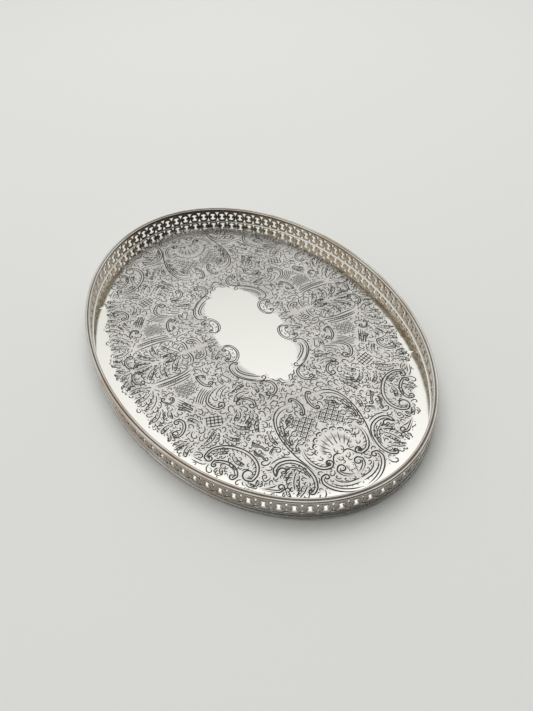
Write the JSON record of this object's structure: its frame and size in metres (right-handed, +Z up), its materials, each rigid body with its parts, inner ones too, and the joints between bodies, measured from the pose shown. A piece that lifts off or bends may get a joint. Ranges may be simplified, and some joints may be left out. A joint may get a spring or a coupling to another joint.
{
  "type": "vanity tray",
  "caption": "Oval silver-plated gallery tray: chased flat plate inside a low wall pierced with linked rings, with reeded rim and foot mouldings.",
  "frame": {"origin": "on the table, under the middle of the tray", "axes": "+X along the tray's length, +Y across it, +Z up"},
  "size_m": [0.357, 0.2488, 0.0188],
  "materials": {
    "chased_silver": "polished silver plate, chased, dark patina in the lines",
    "gallery_silver": "silver plate, warm brown tarnish on the inner face",
    "rim_silver": "polished silver plate, worn on the reeds",
    "foot_silver": "silver plate, dull in the grooves"
  },
  "bodies": {
    "root": {"plate": "chased_silver", "gallery_left": "gallery_silver", "gallery_right": "gallery_silver", "rim_left": "rim_silver", "rim_right": "rim_silver", "foot_left": "foot_silver", "foot_right": "foot_silver"}
  },
  "joints": []
}
